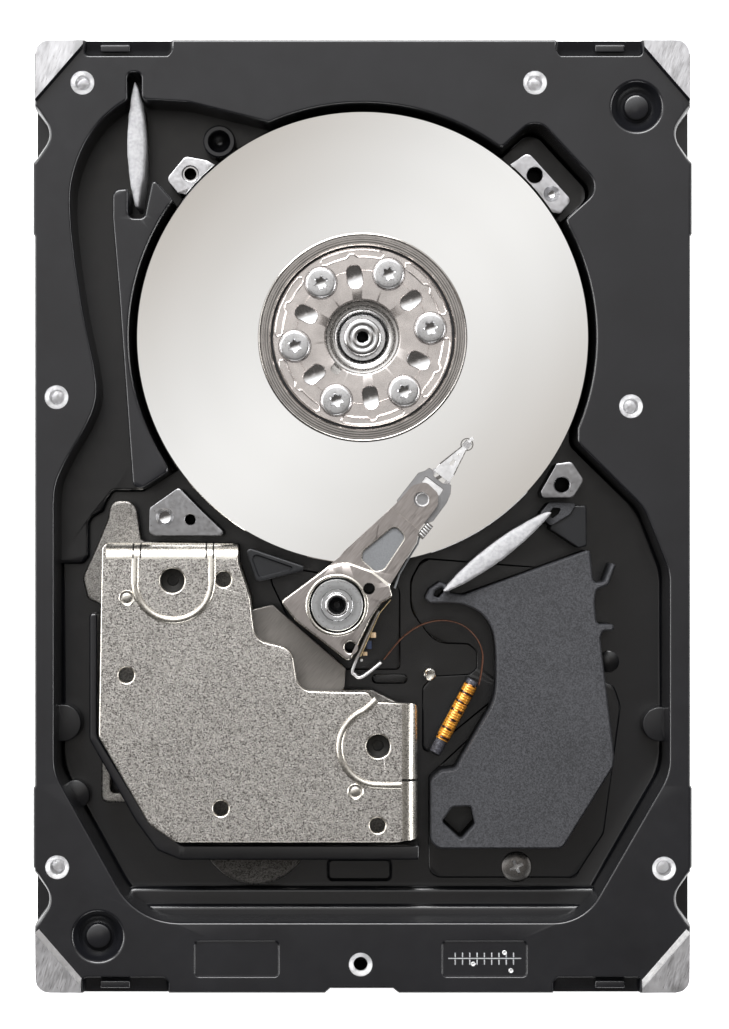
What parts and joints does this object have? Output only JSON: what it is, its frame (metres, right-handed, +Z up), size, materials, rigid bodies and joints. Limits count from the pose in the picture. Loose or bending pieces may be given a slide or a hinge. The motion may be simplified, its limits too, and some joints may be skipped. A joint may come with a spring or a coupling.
{
  "type": "hard disk drive",
  "caption": "Open-top hard disk drive: cast base, stacked mirror platters on a clamped spindle, and a swinging head arm with its voice coil motor, filters and flex circuit.",
  "frame": {"origin": "centre of the footprint, on the plane of the two bottom mounting rails", "axes": "+Y along the length from the host connector to the far end, +Z up through the open top, +X across"},
  "size_m": [0.1016, 0.147, 0.0261],
  "materials": {
    "black_coat": "semi-gloss black electro-coat over cast aluminium",
    "cast_aluminium": "die-cast, fine grain",
    "turned_aluminium": "fine turned",
    "machined_aluminium": "milled, slightly warm grey",
    "satin_aluminium": "satin, brushed",
    "polished_steel": "ground and polished",
    "dark_steel": "dark zinc, satin",
    "stainless_spring": "bright rolled sheet",
    "laminated_steel": "stamped laminations",
    "plated_steel": "nickel plated over a speckled sheet",
    "clamp_steel": "fine turned, bright rings",
    "nickel_plate": "bright nickel",
    "platter_media": "mirror, warm silver",
    "copper_winding": "enamelled copper wire, bonded",
    "gilt_brass": "gilt turned brass",
    "bonded_magnet": "matte bonded powder",
    "black_plastic": "moulded, fine grain",
    "grey_plastic": "moulded, grained dark grey",
    "black_rubber": "matte",
    "amber_film": "glossy polyimide film",
    "filter_fabric": "fine white filter fabric",
    "board_laminate": "solder mask over laminate"
  },
  "bodies": {
    "base": {"base_casting": "black_coat", "motor_bracket": "cast_aluminium", "spindle_shaft": "polished_steel", "stator_core": "laminated_steel", "stator_winding": "copper_winding", "lower_yoke": "plated_steel", "upper_yoke": "plated_steel", "lower_magnet": "nickel_plate", "upper_magnet": "nickel_plate", "yoke_post_1": "polished_steel", "yoke_post_2": "polished_steel", "crash_stop_outer": "black_rubber", "crash_stop_inner": "black_rubber", "motor_shield": "black_plastic", "air_spoiler": "black_plastic", "filter_left": "filter_fabric", "filter_right": "filter_fabric", "filter_clip": "black_plastic", "filter_housing": "grey_plastic", "desiccant_pack": "filter_fabric", "housing_screw": "dark_steel", "flex_bracket": "grey_plastic", "flex_wrap": "amber_film", "flex_loop": "amber_film", "ground_pin": "gilt_brass", "pivot_shaft": "polished_steel", "circuit_board": "board_laminate", "controller_chip": "black_plastic", "interface_connector": "black_plastic"},
    "rotor": {"spindle_hub": "turned_aluminium", "spindle_bearing": "polished_steel", "rotor_magnet": "bonded_magnet", "platter_1": "platter_media", "platter_2": "platter_media", "platter_3": "platter_media", "platter_4": "platter_media", "platter_spacer_1": "turned_aluminium", "platter_spacer_2": "turned_aluminium", "platter_spacer_3": "turned_aluminium", "disk_clamp": "clamp_steel", "clamp_screw_1": "polished_steel", "clamp_screw_2": "polished_steel", "clamp_screw_3": "polished_steel", "clamp_screw_4": "polished_steel", "clamp_screw_5": "polished_steel", "clamp_screw_6": "polished_steel"},
    "actuator": {"actuator_block": "machined_aluminium", "pivot_bearing": "polished_steel", "coil_carrier": "satin_aluminium", "voice_coil": "copper_winding", "flex_stiffener": "stainless_spring", "head_suspension_1": "stainless_spring", "head_suspension_2": "stainless_spring", "head_suspension_3": "stainless_spring", "head_suspension_4": "stainless_spring", "head_suspension_5": "stainless_spring", "head_suspension_6": "stainless_spring", "head_suspension_7": "stainless_spring", "head_suspension_8": "stainless_spring"}
  },
  "joints": [
    {"name": "spindle_spin", "type": "hinge", "parent": "base", "child": "rotor", "pos_m": [0, 0.0277, 0.015], "axis": [0, 0, 1], "continuous": true},
    {"name": "actuator_swing", "type": "hinge", "parent": "base", "child": "actuator", "pos_m": [-0.00395, -0.0137, 0.015], "axis": [0, 0, 1], "range_deg": [-19, 9], "deforming": ["flex_loop"]}
  ]
}
